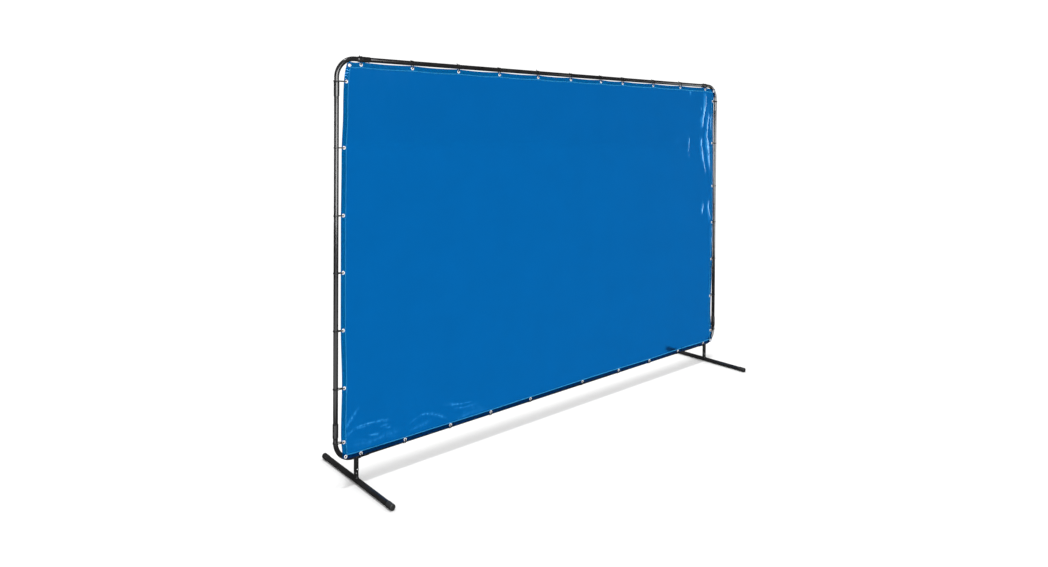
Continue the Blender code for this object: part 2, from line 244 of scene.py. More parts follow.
def coloured(made, source, stops):
    ramp = node(made, "ShaderNodeValToRGB")
    while len(ramp.color_ramp.elements) < len(stops):
        ramp.color_ramp.elements.new(0.5)
    for element, (place, colour) in zip(ramp.color_ramp.elements, stops):
        element.position = place
        element.color = (*colour, 1.0)
    join(made, source, ramp.inputs["Fac"])
    return ramp.outputs["Color"]


def vary_colour(made, source, stops):
    join(made, coloured(made, source, stops), shader_input(made, "Base Color"))


def bump(made, source, height, strength=1.0):
    """Adds a layer of bump, in metres, over the ones there already."""
    layer = node(made, "ShaderNodeBump")
    layer.inputs["Distance"].default_value = height
    layer.inputs["Strength"].default_value = strength
    join(made, source, layer.inputs["Height"])
    normal = shader_input(made, "Normal")
    if normal.is_linked:
        join(made, normal.links[0].from_socket, layer.inputs["Normal"])
    join(made, layer.outputs["Normal"], normal)


def shade(colour, factor):
    return tuple(channel * factor for channel in colour)


def powder_coat_look():
    black = (0.0125, 0.0125, 0.0130)
    made = look("powder_coat", black, 0.40)
    vary_colour(made, noise(made, 9.0, 4.0), [
        (0.30, shade(black, 0.8)), (0.62, shade(black, 1.25)), (0.86, (0.030, 0.030, 0.031))])
    vary_roughness(made, noise(made, 26.0, 3.0), 0.17, 0.27)
    bump(made, noise(made, 620.0, 2.0), 0.00005, 0.6)
    bump(made, noise(made, 45.0, 1.0), 0.0001, 0.35)
    return made


def cap_look():
    black = (0.0100, 0.0100, 0.0105)
    made = look("cap_vinyl", black, 0.58)
    vary_colour(made, noise(made, 60.0, 3.0), [(0.35, black), (0.75, (0.022, 0.022, 0.022))])
    vary_roughness(made, noise(made, 90.0, 2.0), 0.50, 0.68)
    bump(made, noise(made, 900.0, 2.0), 0.00004, 0.8)
    return made


def metal_look(name, colour, low, high, tarnish, metallic=1.0):
    made = look(name, colour, (low + high) / 2, Metallic=metallic)
    vary_colour(made, noise(made, 130.0, 3.0), [(0.35, tarnish), (0.6, colour)])
    vary_roughness(made, noise(made, 260.0, 2.0), low, high)
    bump(made, noise(made, 700.0, 2.0), 0.00002, 0.5)
    return made


def nylon_look():
    black = (0.0095, 0.0095, 0.0100)
    made = look("nylon", black, 0.36)
    vary_colour(made, noise(made, 150.0, 2.0), [(0.4, black), (0.8, (0.018, 0.018, 0.019))])
    vary_roughness(made, noise(made, 300.0, 2.0), 0.30, 0.46)
    bump(made, noise(made, 1500.0, 1.0), 0.00002, 0.6)
    return made


def whiten_creases_and_paint_highlights(made, broken):
    """Film goes pale along its creases, partly as whitening of the folded film and partly as a
    painted highlight, in streaks that a noise breaks up.
    """
    stress_and_highlight = node(made, "ShaderNodeAttribute", attribute_name="stress_and_highlight")
    amount = node(made, "ShaderNodeMath", operation="MULTIPLY", use_clamp=True)
    join(made, stress_and_highlight.outputs["Fac"], amount.inputs[0])
    join(made, ranged(made, broken, 0.43, 0.56, 0.22, 1.15), amount.inputs[1])
    # The paleness is painted in: whitening of the folded film at low amounts, a painted highlight at
    # the strong end.
    pale = coloured(made, amount.outputs["Value"], CREASE_WHITE_AND_HIGHLIGHT_STOPS)
    mixed = node(made, "ShaderNodeMix", data_type="RGBA", blend_type="ADD")
    mixed.inputs["Factor"].default_value = 1.0
    base = shader_input(made, "Base Color")
    join(made, base.links[0].from_socket, mixed.inputs[6])
    join(made, pale, mixed.inputs[7])
    join(made, mixed.outputs[2], base)


def film_look(name, colour, low, high, transmission):
    made = look(name, colour, 0.10, Transmission_Weight=transmission, IOR=1.42,
                Specular_IOR_Level=0.22, Specular_Tint=(0.25, 0.58, 1.0, 1.0))
    vary_colour(made, noise(made, 5.0, 3.0), [
        (0.25, shade(colour, 0.965)), (0.75, shade(colour, 1.02))])
    whiten_creases_and_paint_highlights(made, noise(made, 75.0, 4.0, 0.65, stretch=(1, 1, 0.45)))
    vary_roughness(made, noise(made, 30.0, 4.0, stretch=(1, 1, 0.35)), low, high)
    bump(made, noise(made, 75.0, 2.0), 0.00010, 0.5)
    bump(made, noise(made, 420.0, 2.0), 0.00002, 0.5)
    return made


def thread_look():
    pale = (0.05, 0.50, 0.96)
    made = look("seam_thread", pale, 0.6, Specular_IOR_Level=0.1)
    vary_colour(made, noise(made, 400.0, 2.0), [(0.3, shade(pale, 0.8)), (0.7, pale)])
    bump(made, noise(made, 2600.0, 1.0, stretch=(1, 1, 0.3)), 0.00006, 0.8)
    return made


BLUE = (0.0008, 0.128, 0.415)
# What a crease adds to the film's colour, from none to the strongest: whitening of the folded film,
# and at the strong end a painted highlight.
CREASE_WHITE_AND_HIGHLIGHT_STOPS = ((0.0, (0, 0, 0)), (0.40, (0.018, 0.130, 0.260)), (1.0, (0.24, 0.60, 0.70)))
LOOKS = {
    "powder_coat": powder_coat_look(),
    "cap_vinyl": cap_look(),
    "zinc_plate": metal_look("zinc_plate", (0.68, 0.68, 0.66), 0.22, 0.38, (0.52, 0.51, 0.48)),
    "spring_steel": metal_look("spring_steel", (0.40, 0.40, 0.41), 0.28, 0.42, (0.27, 0.26, 0.26)),
    # Near-white and barely metallic, so the eyelets are bright without reflecting the lamps: a
    # painted sheen in place of the plated metal's reflections.
    "eyelet_nickel": metal_look(
        "eyelet_nickel", (0.97, 0.96, 0.97), 0.24, 0.36, (0.86, 0.84, 0.85), 0.10),
    "nylon": nylon_look(),
    "blue_pvc": film_look("blue_pvc", BLUE, 0.07, 0.12, 0.92),
    "hem_pvc": film_look("hem_pvc", (0.06, 0.86, 0.76), 0.10, 0.16, 0.99),
    "seam_thread": thread_look(),
}


# The pieces that each softbox shows in, and the pieces that cast the sun's shadow.
FILM_LIT, FRAME_LIT, RAISED_LIT, POSTS_LIT, RIGHT_POST_LIT, SUN_SHADOWS = (
    bpy.data.collections.new(name) for name in (
        "film_lit", "frame_lit", "raised_lit", "posts_lit", "right_post_lit", "sun_shadows"))


# Mesh building.

class Shape:
    """Collects closed shells, then makes one piece of them."""

    def __init__(self):
        self.points = []
        self.faces = []

    def add(self, points, faces):
        start = len(self.points)
        self.points += [tuple(point) for point in points]
        self.faces += [tuple(start + i for i in face) for face in faces]

    def loft(self, rings, loop=False, start=None, end=None):
        """Skins a row of rings. start and end are the points that close an open row's ends."""
        count = len(rings[0])
        points = [point for ring in rings for point in ring]
        faces = []
        spans = len(rings) if loop else len(rings) - 1
        for i in range(spans):
            here, there = i * count, (i + 1) % len(rings) * count
            for j in range(count):
                k = (j + 1) % count
                faces.append((here + j, here + k, there + k, there + j))
        if start is not None:
            points.append(start)
            faces += [(len(points) - 1, (j + 1) % count, j) for j in range(count)]
        if end is not None:
            points.append(end)
            last = (len(rings) - 1) * count
            faces += [(len(points) - 1, last + j, last + (j + 1) % count) for j in range(count)]
        self.add(points, faces)

    def mesh(self, name):
        made = bpy.data.meshes.new(name)
        made.from_pydata(self.points, [], self.faces)
        made.validate()
        tidy = bmesh.new()
        tidy.from_mesh(made)
        bmesh.ops.recalc_face_normals(tidy, faces=tidy.faces)
        tidy.to_mesh(made)
        tidy.free()
        return made


def lit_in(made, name, main):
    main.objects.link(made)
    if main is FRAME_LIT and not name.startswith("foot"):
        RAISED_LIT.objects.link(made)
    if name.startswith(("upright", "elbow")):
        POSTS_LIT.objects.link(made)
        if name.endswith("right"):
            RIGHT_POST_LIT.objects.link(made)
    else:
        SUN_SHADOWS.objects.link(made)


def piece(name, mesh, material, nodes=(), body=BODY, crisp=35):
    made = new_object(name, mesh)
    lit_in(made, name, FILM_LIT if material in ("blue_pvc", "hem_pvc") else FRAME_LIT)
    mesh.materials.clear()
    mesh.materials.append(LOOKS[material])
    mesh.shade_smooth()
    mesh.set_sharp_from_angle(angle=math.radians(crisp))
    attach(made, body)
    if nodes:
        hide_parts(*nodes)
    return made


def coated(name, shape):
    piece(name, shape.mesh(name), "powder_coat", [name])


def circle(centre, across, up, radius, sides=SIDES):
    turn = math.tau / sides
    return [
        Vector(centre) + across * (radius * math.cos(k * turn)) + up * (radius * math.sin(k * turn))
        for k in range(sides)
    ]


def side_axes(axis):
    across = AXIS_Y.cross(axis) if abs(axis.y) < 0.9 else AXIS_X.copy()
    across.normalize()
    return across, axis.cross(across)


def turned(shape, profile, origin, axis, sides=SIDES):
    """Turns a profile of (radius, distance) points about an axis. A radius of 0 closes an end."""
    axis = Vector(axis).normalized()
    across, up = side_axes(axis)
    origin = Vector(origin)
    start = origin + axis * profile[0][1] if profile[0][0] == 0 else None
    end = origin + axis * profile[-1][1] if profile[-1][0] == 0 else None
    rings = [
        circle(origin + axis * distance, across, up, radius, sides)
        for radius, distance in profile if radius > 0
    ]
    shape.loft(rings, loop=start is None, start=start, end=end)


def arc(radius, distance, wide, tall, first, last, steps):
    """Profile points along an oval's arc, between two angles in degrees."""
    angles = [math.radians(first + (last - first) * k / steps) for k in range(steps + 1)]
    return [(radius + wide * math.cos(a), distance + tall * math.sin(a)) for a in angles]


def ease(t):
    t = min(max(t, 0.0), 1.0)
    return t * t * (3 - 2 * t)


def broken_edge(radius, distance, inward):
    """The outer edge of a tube's end, rounded a little."""
    corner = EDGE_ROUND * 0.3
    return [
        (radius, distance + inward * EDGE_ROUND),
        (radius - corner, distance + inward * corner),
        (radius - EDGE_ROUND, distance),
    ]


def tube_profile(radius, bore, low, high):
    return [
        *broken_edge(radius, high, -1)[::-1],
        *broken_edge(radius, low, 1),
        (bore, low),
        (bore, high),
    ]


def drilled(shape, point, outward):
    """The shape with a button's hole through its near wall."""
    body = new_object("drilled", shape.mesh("drilled"))
    drill = Shape()
    turned(drill, [(0, 0.0), (BUTTON_R + GAP, 0.0), (BUTTON_R + GAP, 0.03), (0, 0.03)],
           point, outward, 24)
    tool = new_object("drill", drill.mesh("drill"))
    cut = body.modifiers.new("drill", "BOOLEAN")
    cut.operation = "DIFFERENCE"
    cut.solver = "EXACT"
    cut.object = tool
    mesh = applied(body)
    bpy.data.objects.remove(tool)
    result = Shape()
    result.add([v.co for v in mesh.vertices], [tuple(p.vertices) for p in mesh.polygons])
    return result


# Frame tubes.

def socket_radius(distance, low, high):
    """The radius at a distance along an elbow's leg, as it flares into the socket."""
    return low + (high - low) * ease((distance - SOCKET_START) / SOCKET_FLARE)


def elbow_path(low, high, shift):
    """Centres, tangents and radii from the end of the leg along -Z to the leg along +X."""
    leg = [SOCKET_END]
    leg += [SOCKET_START + shift + SOCKET_FLARE * k / 5 for k in range(5, -1, -1)]
    path = [(Vector((0, 0, -d)), AXIS_Z, socket_radius(d - shift, low, high)) for d in leg]
    steps = 24
    for k in range(steps + 1):
        angle = math.pi / 2 * k / steps
        centre = Vector((BEND_R * (1 - math.cos(angle)), 0, -BEND_R * (1 - math.sin(angle))))
        tangent = Vector((math.sin(angle), 0, math.cos(angle)))
        path.append((centre, tangent, low))
    path += [(Vector((d, 0, 0)), AXIS_X, socket_radius(d - shift, low, high))
             for d in reversed(leg)]
    return path


def elbow_shell(shape, corner, flip_x, flip_z):
    outer = elbow_path(TUBE_R, SOCKET_R, 0.0)
    inner = elbow_path(TUBE_BORE, SOCKET_BORE, 0.001)
    rings = []
    for path, reverse in ((outer, False), (inner, True)):
        row = []
        for centre, tangent, radius in path:
            row.append(circle(centre, AXIS_Y, tangent.cross(AXIS_Y), radius))
        rings += row[::-1] if reverse else row
    placed = [
        [Vector((corner.x + flip_x * p.x, p.y, corner.z + flip_z * p.z)) for p in ring]
        for ring in rings
    ]
    shape.loft(placed, loop=True)


def weld_bead(shape, path):
    """A rippled bead along a closed path of (point, outward) pairs."""
    length = sum((path[i][0] - path[i - 1][0]).length for i in range(len(path)))
    ripples = round(length / BEAD_PITCH)
    rings = []
    for i, (point, outward) in enumerate(path):
        ahead = (path[(i + 1) % len(path)][0] - path[i - 1][0]).normalized()
        up = ahead.cross(outward).normalized()
        wave = abs(math.sin(math.pi * ripples * i / len(path)))
        radius = BEAD_R * (0.86 + 0.18 * wave)
        rings.append(circle(point, outward, up, radius, 10))
    shape.loft(rings, loop=True)


def saddle(x, radius, height, steps=144):
    """The line where an upright stub of a radius meets the tube under or over it."""
    path = []
    for k in range(steps):
        angle = math.tau * k / steps
        outward = Vector((math.cos(angle), math.sin(angle), 0))
        point = Vector((x, 0, 0)) + outward * (radius + 0.0004)
        point.z = height(point.x, point.y)
        path.append((point, outward))
    return path


def leg_underside(x, y):
    """Height of the underside of a bottom elbow's level leg."""
    radius = socket_radius(POST_X - abs(x), TUBE_R, SOCKET_R)
    return LOW_Z - math.sqrt(max(radius ** 2 - y ** 2, 0.0))


def foot_topside(x, y):
    offset = abs(x) - FOOT_X
    return FOOT_Z + math.sqrt(max(FOOT_R ** 2 - offset ** 2, 0.0))


def fitted_tube(shape, x, radius, bore, profile, height, sink):
    """An upright stub whose one end follows the tube that it is welded to."""
    rings = []
    for reach, at_end in ((radius, False), (bore, True)):
        ring = circle((x, 0, 0), AXIS_X, AXIS_Y, reach)
        for point in ring:
            point.z = height(point.x, point.y) + sink
        rings.append(ring)
    outer, inner = rings
    row = [outer]
    row += [circle((x, 0, z), AXIS_X, AXIS_Y, r) for r, z in profile]
    row.append(inner)
    shape.loft(row, loop=True)


def elbows():
    for side, sign in (("left", -1), ("right", 1)):
        shape = Shape()
        elbow_shell(shape, Vector((sign * POST_X, 0, HIGH_Z)), -sign, 1)
        name = "elbow_top_" + side
        coated(name, shape)

        name = "elbow_bottom_" + side
        x = sign * FOOT_X
        stub = Shape()
        low = RISER_TOP + GAP
        fitted_tube(stub, x, TUBE_R, TUBE_BORE, [
            (TUBE_R, low + EDGE_ROUND),
            (TUBE_R - EDGE_ROUND, low),
            (TUBE_BORE, low),
        ], leg_underside, 0.0006)
        shape = drilled(stub, (x, 0, BUTTON_Z), -AXIS_Y)
        elbow_shell(shape, Vector((sign * POST_X, 0, LOW_Z)), -sign, -1)
        weld_bead(shape, saddle(x, TUBE_R, leg_underside))
        coated(name, shape)


def uprights():
    for side, sign in (("left", -1), ("right", 1)):
        name = "upright_" + side
        low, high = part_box(name)
        shape = Shape()
        turned(shape, tube_profile(TUBE_R, TUBE_BORE, low.z, high.z),
               (sign * POST_X, 0, 0), AXIS_Z)
        coated(name, shape)


def swage(shoulder, tip, away):
    """Outside of a drawn-down end, from the full tube to the spigot, as (radius, distance)."""
    rows = []
    for k in range(7):
        t = k / 6
        rows.append((TUBE_R + (SPIGOT_R - TUBE_R) * ease(t), shoulder + (tip - shoulder) * t))
    return rows if away else rows[::-1]


def rails():
    for level, z in (("top", HIGH_Z), ("bottom", LOW_Z)):
        name = level + "_rail_left"
        low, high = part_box(name)
        shape = Shape()
        turned(shape, tube_profile(TUBE_R, TUBE_BORE, low.x, high.x), (0, 0, z), AXIS_X)
        shape = drilled(shape, (RAIL_BUTTON_X, 0, z), AXIS_Y)
        coated(name, shape)

        name = level + "_rail_right"
        low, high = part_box(name)
        shoulder = SWAGE_LENGTH + 2 * GAP
        shape = Shape()
        turned(shape, [
            *broken_edge(TUBE_R, high.x, -1)[::-1],
            *swage(shoulder, 2 * GAP, True),
            (SPIGOT_R, low.x + EDGE_ROUND),
            (SPIGOT_R - EDGE_ROUND, low.x),
            (SPIGOT_BORE, low.x),
            (SPIGOT_BORE, 2 * GAP),
            (TUBE_BORE, shoulder),
            (TUBE_BORE, high.x),
        ], (0, 0, z), AXIS_X)
        shape = drilled(shape, (RAIL_BUTTON_X, 0, z), AXIS_Y)
        coated(name, shape)


def feet():
    for side, sign in (("left", -1), ("right", 1)):
        name = "foot_" + side
        low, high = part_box(name)
        x = sign * FOOT_X
        riser = Shape()
        fitted_tube(riser, x, TUBE_R, SPIGOT_BORE, [
            *swage(RISER_TOP - SWAGE_LENGTH, RISER_TOP, True),
            (SPIGOT_R, high.z - EDGE_ROUND),
            (SPIGOT_R - EDGE_ROUND, high.z),
            (SPIGOT_BORE, high.z),
        ], foot_topside, -0.0006)
        shape = drilled(riser, (x, 0, BUTTON_Z), -AXIS_Y)
        turned(shape, tube_profile(FOOT_R, FOOT_R - FOOT_WALL, low.y, high.y),
               (x, 0, FOOT_Z), AXIS_Y)
        weld_bead(shape, saddle(x, TUBE_R, foot_topside))
        coated(name, shape)


def caps():
    """Slip-over end caps with a rolled lip and a softly rounded end."""
    corner = 0.0035
    profile = [
        (0, CAP_LENGTH),
        *arc(CAP_R - corner, CAP_LENGTH - corner, corner, corner, 90, 0, 5),
        (CAP_R, 0.0030),
        (CAP_LIP_R - 0.0002, 0.0024),
        (CAP_LIP_R, 0.0014),
        (CAP_LIP_R - 0.0003, 0.0004),
        (CAP_R - 0.0004, 0.0),
        (FOOT_R + GAP, 0.0),
        (FOOT_R + GAP, CAP_LENGTH - CAP_FLOOR),
        (0, CAP_LENGTH - CAP_FLOOR),
    ]
    for side in ("left", "right"):
        for end, outward in (("front", -1), ("back", 1)):
            name = f"foot_cap_{side}_{end}"
            low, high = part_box(name)
            start = high.y if outward < 0 else low.y
            shape = Shape()
            turned(shape, profile, (middle(name).x, start, FOOT_Z), AXIS_Y * outward)
            piece(name, shape.mesh(name), "cap_vinyl", [name], crisp=50)


def snap_buttons():
    dome = 0.7 * BUTTON_R
    profile = [
        (0, BUTTON_TIP),
        *arc(0, BUTTON_TIP - dome, BUTTON_R, dome, 90, 0, 8)[1:],
        (BUTTON_R, FLANGE_TOP),
        (FLANGE_R - 0.0002, FLANGE_TOP),
        (FLANGE_R, FLANGE_TOP - 0.0002),
        (FLANGE_R, FLANGE_TOP - FLANGE_THICKNESS),
        (0, FLANGE_TOP - FLANGE_THICKNESS),
    ]
    places = {
        "foot_left": ((-FOOT_X, 0, BUTTON_Z), -AXIS_Y),
        "foot_right": ((FOOT_X, 0, BUTTON_Z), -AXIS_Y),
        "top_rail": ((RAIL_BUTTON_X, 0, HIGH_Z), AXIS_Y),
        "bottom_rail": ((RAIL_BUTTON_X, 0, LOW_Z), AXIS_Y),
    }
    for where, (point, outward) in places.items():
        name = "snap_button_" + where
        shape = Shape()
        turned(shape, profile, point, outward, 32)
        piece(name, shape.mesh(name), "zinc_plate", [name], "button_" + where)
        spring = frame["nodes"]["button_spring_" + where]
        spring.data.materials.clear()
        spring.data.materials.append(LOOKS["spring_steel"])
        FRAME_LIT.objects.link(spring)


# Sheet. Its flat places are (u, v): u along from its middle, v down from its top edge.

# How far each side edge is drawn in, against the distance down from the top edge.
LEFT_PULL = ((0.0, 0.004), (0.22, 0.003), (0.42, -0.005), (0.75, -0.009), (1.18, -0.010),
             (1.44, -0.004), (1.67, -0.009), (1.79, -0.001))
RIGHT_PULL = ((0.0, 0.000), (0.12, -0.005), (0.30, -0.001), (0.75, -0.005), (1.02, -0.001),
              (1.30, 0.010), (1.56, 0.023), (1.79, 0.008))
# How far the bottom edge is lifted over the rail, against the distance along from the middle.
BOTTOM_LIFT = ((-1.48, 0.005), (-1.38, 0.001), (-1.13, -0.002), (-0.60, -0.003), (-0.25, -0.001),
               (0.14, 0.002), (0.80, -0.003), (1.10, 0.001), (1.39, -0.002), (1.48, 0.001))
TOP_EYELETS = [middle(f"tie_top_{n:02d}").x for n in range(1, 12)]
BOTTOM_EYELETS = [middle(f"tie_bottom_{n:02d}").x for n in range(1, 11)]
SIDE_EYELETS = [(SHEET_TOP - middle(f"tie_left_{n:02d}").z) / math.cos(TILT) for n in range(1, 8)]

# Creases in the film: a line of flat (u, v) places in metres, the half width, the height, and
# how pale the film is painted along it, as whitening of the folded film and as a painted highlight.
CREASES = [
    # Lower left, fanning from the corner.
    ([(-1.459, 1.646), (-1.431, 1.608), (-1.396, 1.567)], 0.0042, 0.0018, 0.85),
    ([(-1.470, 1.685), (-1.436, 1.672), (-1.415, 1.655), (-1.374, 1.651), (-1.332, 1.652),
      (-1.288, 1.656), (-1.225, 1.664)], 0.0045, 0.0018, 0.66),
    ([(-1.415, 1.660), (-1.379, 1.662), (-1.337, 1.660)], 0.0040, 0.0012, 0.60),
    ([(-1.288, 1.685), (-1.261, 1.682), (-1.243, 1.683)], 0.0035, 0.0010, 0.55),
    ([(-1.262, 1.695), (-1.225, 1.699)], 0.0035, 0.0010, 0.50),
    ([(-1.389, 1.635), (-1.374, 1.632)], 0.0030, 0.0008, 0.50),
    ([(-1.348, 1.708), (-1.288, 1.715)], 0.0045, 0.0012, 0.60),
    ([(-1.427, 1.735), (-1.377, 1.733), (-1.334, 1.741), (-1.298, 1.734), (-1.244, 1.729),
      (-1.179, 1.730)], 0.0140, 0.0022, 0.24),
    ([(-1.118, 1.709), (-1.077, 1.693), (-1.042, 1.683), (-0.982, 1.697), (-0.938, 1.717),
      (-0.894, 1.743)], 0.0050, 0.0016, 0.58),
    ([(-1.119, 1.745), (-1.060, 1.735), (-0.999, 1.731)], 0.0060, 0.0014, 0.40),
    ([(-0.911, 1.668), (-0.823, 1.690), (-0.735, 1.695)], 0.0048, 0.0016, 0.60),
    ([(-0.862, 1.701), (-0.771, 1.715), (-0.691, 1.713)], 0.0060, 0.0014, 0.36),
    ([(-0.840, 1.764), (-0.730, 1.745), (-0.630, 1.758)], 0.0160, 0.0020, 0.20),
    # Near the right edge, where the strong paleness is mostly painted highlight.
    ([(1.385, 0.026), (1.377, 0.088), (1.374, 0.126), (1.362, 0.165), (1.350, 0.211),
      (1.337, 0.265), (1.345, 0.290)], 0.0120, 0.0046, 1.00),
    ([(1.329, 0.134), (1.335, 0.158)], 0.0070, 0.0014, 0.60),
    ([(1.337, 0.196), (1.318, 0.240)], 0.0070, 0.0016, 0.60),
    ([(1.431, 0.123), (1.418, 0.179), (1.406, 0.242), (1.398, 0.312), (1.391, 0.343),
      (1.405, 0.374), (1.416, 0.444), (1.424, 0.522), (1.441, 0.585)], 0.0115, 0.0042, 0.90),
    ([(1.452, 0.163), (1.447, 0.235), (1.450, 0.304)], 0.0070, 0.0018, 0.50),
    ([(1.319, 0.335), (1.331, 0.381), (1.339, 0.436), (1.347, 0.482), (1.372, 0.552),
      (1.383, 0.590)], 0.0085, 0.0032, 0.80),
    ([(1.341, 0.338), (1.335, 0.385)], 0.0060, 0.0014, 0.60),
    ([(1.189, 0.340), (1.190, 0.380), (1.179, 0.447)], 0.0060, 0.0022, 0.55),
    ([(1.187, 0.450), (1.193, 0.482)], 0.0050, 0.0010, 0.40),
    ([(1.064, 0.348), (1.061, 0.390)], 0.0060, 0.0010, 0.30),
    ([(1.357, 0.788), (1.339, 0.885)], 0.0080, 0.0030, 0.80),
    ([(1.422, 0.780), (1.414, 0.842), (1.429, 0.886), (1.447, 0.934)], 0.0085, 0.0030, 0.80),
    ([(1.460, 0.950), (1.457, 1.060), (1.464, 1.200)], 0.0080, 0.0026, 0.50),
    ([(1.207, 0.018), (1.206, 0.062)], 0.0060, 0.0014, 0.60),
]


def eased(x, knots):
    """A smooth line through (place, value) knots."""
    places, values = (np.array(row) for row in zip(*knots))
    i = np.clip(np.searchsorted(places, x) - 1, 0, len(places) - 2)
    t = np.clip((x - places[i]) / (places[i + 1] - places[i]), 0, 1)
    return values[i] + (values[i + 1] - values[i]) * t * t * (3 - 2 * t)


def fades(distance, reach):
    return np.exp(-(distance / reach) ** 2)


def scallop(u, eyelets, held, slack):
    """The lift of an edge that is held at its eyelets and hangs slack between them."""
    edges = np.array([-SHEET_HALF, *eyelets, SHEET_HALF])
    i = np.clip(np.searchsorted(edges, u) - 1, 0, len(edges) - 2)
    t = np.clip((u - edges[i]) / (edges[i + 1] - edges[i]), 0, 1)
    return held - (held - slack) * 4 * t * (1 - t)


def rounded(line):
    """The line with its turns cut back twice, so that it bends smoothly."""
    for _ in range(2):
        ahead = np.diff(line, axis=0)
        cut = np.stack([line[:-1] + ahead * 0.25, line[:-1] + ahead * 0.75], axis=1).reshape(-1, 2)
        line = np.vstack([line[:1], cut[1:-1], line[-1:]])
    return line


def crease_field(u, v):
    """How far the creases stand forward, how pale they are painted (whitening of the folded film,
    and a painted highlight), and how near each place is to one.
    """
    height = np.zeros_like(u)
    white = np.zeros_like(u)
    nearest = np.full_like(u, 1.0)
    for number, (line, width, rise, pale) in enumerate(CREASES):
        line = rounded(np.array(line))
        lengths = np.hypot(*np.diff(line, axis=0).T)
        total = lengths.sum()
        distance = np.full_like(u, 1.0)
        along = np.zeros_like(u)
        done = 0.0
        for a, b, length in zip(line, line[1:], lengths):
            step = (b - a) / length
            t = np.clip((u - a[0]) * step[0] + (v - a[1]) * step[1], 0, length)
            off = np.hypot(u - a[0] - t * step[0], v - a[1] - t * step[1])
            closer = off < distance
            along = np.where(closer, (done + t) / total, along)
            distance = np.where(closer, off, distance)
            done += length
        taper = np.sin(np.pi * np.clip(along, 0.02, 0.98)) ** 0.6
        taper = taper * (0.8 + 0.2 * np.sin(along * total * 60.0 + number))
        # A second, finer fold runs beside the crease and crosses it.
        beside = distance - width * (0.9 + 0.5 * np.sin(along * total * 25.0 + 2.0 * number))
        height += rise * taper * (fades(distance, width) + 0.35 * fades(beside, 0.45 * width))
        # Paleness along the crease, painted in: whitening of the folded film, and a painted
        # highlight where it is strong.
        white = np.maximum(white, pale * taper * fades(distance, 0.62 * width))
        white = np.maximum(white, 0.55 * pale * taper * fades(beside, 0.35 * width))
        nearest = np.minimum(nearest, distance / width)
    return height, white, nearest


def hang(u, v):
    """Where flat places of the sheet hang, as an array of points."""
    u, v = np.asarray(u, float), np.asarray(v, float)
    from_left, from_right = u + SHEET_HALF, SHEET_HALF - u
    up_from_bottom = SHEET_LENGTH - v
    x = u + eased(v, LEFT_PULL) * fades(from_left, 0.15)
    x -= eased(v, RIGHT_PULL) * fades(from_right, 0.22)
    # The top left corner is drawn in, and the top right one flares out in front of the elbow.
    x += 0.024 * np.exp(-v / 0.050) * fades(from_left, 0.060)
    flare = fades(v, 0.062) * fades(from_right, 0.052)
    x += 0.012 * flare
    z = SHEET_TOP - v * math.cos(TILT) - 0.006 * flare
    y = -v * math.sin(TILT)
    z = z + scallop(u, TOP_EYELETS, 0.0038, -0.0002) * np.exp(-v / 0.10)
    z = z + eased(u, BOTTOM_LIFT) * np.exp(-up_from_bottom / 0.08)
    # The rim below the bottom eyelets rides up, and the bottom corners are cut round.
    z = z + 0.0036 * np.exp(-up_from_bottom / 0.005)
    rounding = np.exp(-up_from_bottom / 0.007)
    x += 0.007 * rounding * (np.exp(-from_left / 0.007) - np.exp(-from_right / 0.007))
    z = z + 0.005 * rounding * (np.exp(-from_left / 0.007) + np.exp(-from_right / 0.007))
    forward = 0.009 * flare
    # Ruffles along the drawn-in corner, between its eyelet and the first tie.
    ruffled = np.clip((v - 0.022) / 0.010, 0, 1) * np.clip((0.082 - v) / 0.010, 0, 1)
    forward = forward + 0.0004 * np.sin(math.tau * v / 0.0125) * ruffled * fades(from_left, 0.020)
    # A slow swell over the whole sheet, held flat at its edges.
    inside = np.clip(np.minimum(from_left, from_right) / 0.25, 0, 1)
    inside = inside * np.clip(np.minimum(v, up_from_bottom) / 0.25, 0, 1)
    swell = np.sin(2.3 * u + 1.9 * v + 0.4) + 0.6 * np.sin(5.1 * u - 2.7 * v + 1.3)
    forward = forward + 0.0016 * inside * swell
    # Slacker waves, a hand's width apart, that only show in the gloss.
    waves = np.sin(17.0 * u + 4.0 * v + 2.0 * np.sin(3.1 * v)) * np.sin(6.3 * v - 2.1 * u + 0.7)
    forward = forward + 0.0009 * inside * waves
    # Short pleats under the top eyelets.
    spots = np.array(TOP_EYELETS)
    nearest = spots[np.argmin(np.abs(u[..., None] - spots), axis=-1)]
    forward = forward + 0.0004 * fades(u - nearest, 0.016) * fades(v - 0.040, 0.035)
    forward = forward + crease_field(u, v)[0]
    return np.stack([x, y - forward, z], axis=-1)


def filled(fixed, gaps):
    """Grid lines through all the fixed places, with steps that suit where they are."""
    fixed = sorted(fixed)
    kept = [fixed[0]]
    for place in fixed[1:]:
        if place - kept[-1] > 0.0022:
            kept.append(place)
    lines = []
    for a, b in zip(kept, kept[1:]):
        count = max(1, math.ceil((b - a) / gaps((a + b) / 2) - 0.2))
        lines += [a + (b - a) * k / count for k in range(count)]
    return lines + [kept[-1]]


def eyelet_places():
    """Every eyelet's flat place, by name."""
    places = {}
    for n, u in enumerate(TOP_EYELETS, 1):
        places[f"eyelet_top_{n:02d}"] = (u, EYELET_INSET)
    for n, u in enumerate(BOTTOM_EYELETS, 1):
        places[f"eyelet_bottom_{n:02d}"] = (u, SHEET_LENGTH - EYELET_INSET)
    for side, sign in (("left", -1), ("right", 1)):
        for n, v in enumerate(SIDE_EYELETS, 1):
            places[f"eyelet_{side}_{n:02d}"] = (sign * (SHEET_HALF - EYELET_INSET), v)
        corner_u = sign * (SHEET_HALF - CORNER_EYELET)
        places[f"eyelet_corner_top_{side}"] = (corner_u, CORNER_EYELET)
        places[f"eyelet_corner_bottom_{side}"] = (corner_u, SHEET_LENGTH - CORNER_EYELET)
    return places


EYELETS = eyelet_places()


